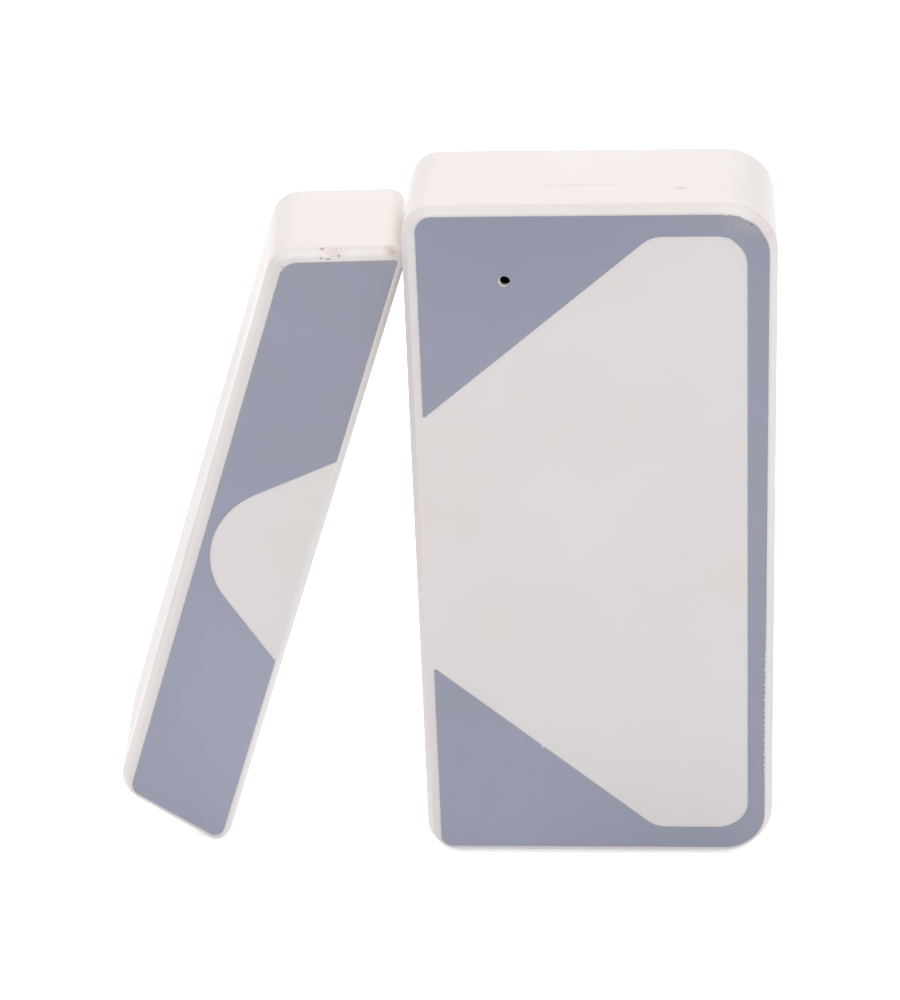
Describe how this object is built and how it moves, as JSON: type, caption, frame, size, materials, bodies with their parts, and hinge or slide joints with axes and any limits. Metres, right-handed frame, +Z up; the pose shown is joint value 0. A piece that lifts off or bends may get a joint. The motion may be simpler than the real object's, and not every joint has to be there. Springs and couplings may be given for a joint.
{
  "type": "door window sensor",
  "caption": "Wireless door and window contact: white upright sensor housing with a grey-blue printed face, and a slant-ended magnet housing that leans against it.",
  "frame": {"origin": "centre of the sensor housing's flat foot", "axes": "+X across the face to the right, away from the magnet housing; +Y from the printed face to the back; +Z up"},
  "size_m": [0.0673, 0.0191, 0.071],
  "materials": {
    "white_plastic": "moulded ABS, satin",
    "grey_blue_print": "printed ink film, satin",
    "white_foam": "closed-cell foam tape",
    "board_laminate": "solder mask on laminate",
    "zinc_steel": "zinc plated",
    "cell_jacket": "printed jacket, plain",
    "contact_nickel": "nickel plated spring steel",
    "reed_glass": "clear tube",
    "reed_nickel": "tinned nickel iron",
    "lamp_epoxy": "diffused epoxy",
    "chip_epoxy": "moulded epoxy",
    "can_steel": "drawn can",
    "resistor_ceramic": "glazed alumina",
    "capacitor_ceramic": "unglazed",
    "copper_wire": "enamelled copper wire",
    "ferrite": "sintered ferrite"
  },
  "bodies": {
    "root": {"sensor_front_shell": "white_plastic", "sensor_back_cover": "white_plastic", "sensor_face_print": "grey_blue_print", "sensor_mount_tape": "white_foam", "circuit_board": "board_laminate", "board_screws": "zinc_steel", "battery_cell": "cell_jacket", "battery_plate_contact": "contact_nickel", "battery_spring_contact": "contact_nickel", "reed_switch_glass": "reed_glass", "reed_switch_leads": "reed_nickel", "status_led": "lamp_epoxy", "encoder_chip": "chip_epoxy", "rf_transistor": "chip_epoxy", "saw_resonator": "can_steel", "chip_resistors": "resistor_ceramic", "chip_capacitors": "capacitor_ceramic", "choke_coil": "copper_wire", "loop_antenna": "copper_wire", "magnet_front_shell": "white_plastic", "magnet_back_cover": "white_plastic", "magnet_face_print": "grey_blue_print", "magnet_mount_tape": "white_foam", "magnet_bar": "ferrite"}
  },
  "joints": []
}
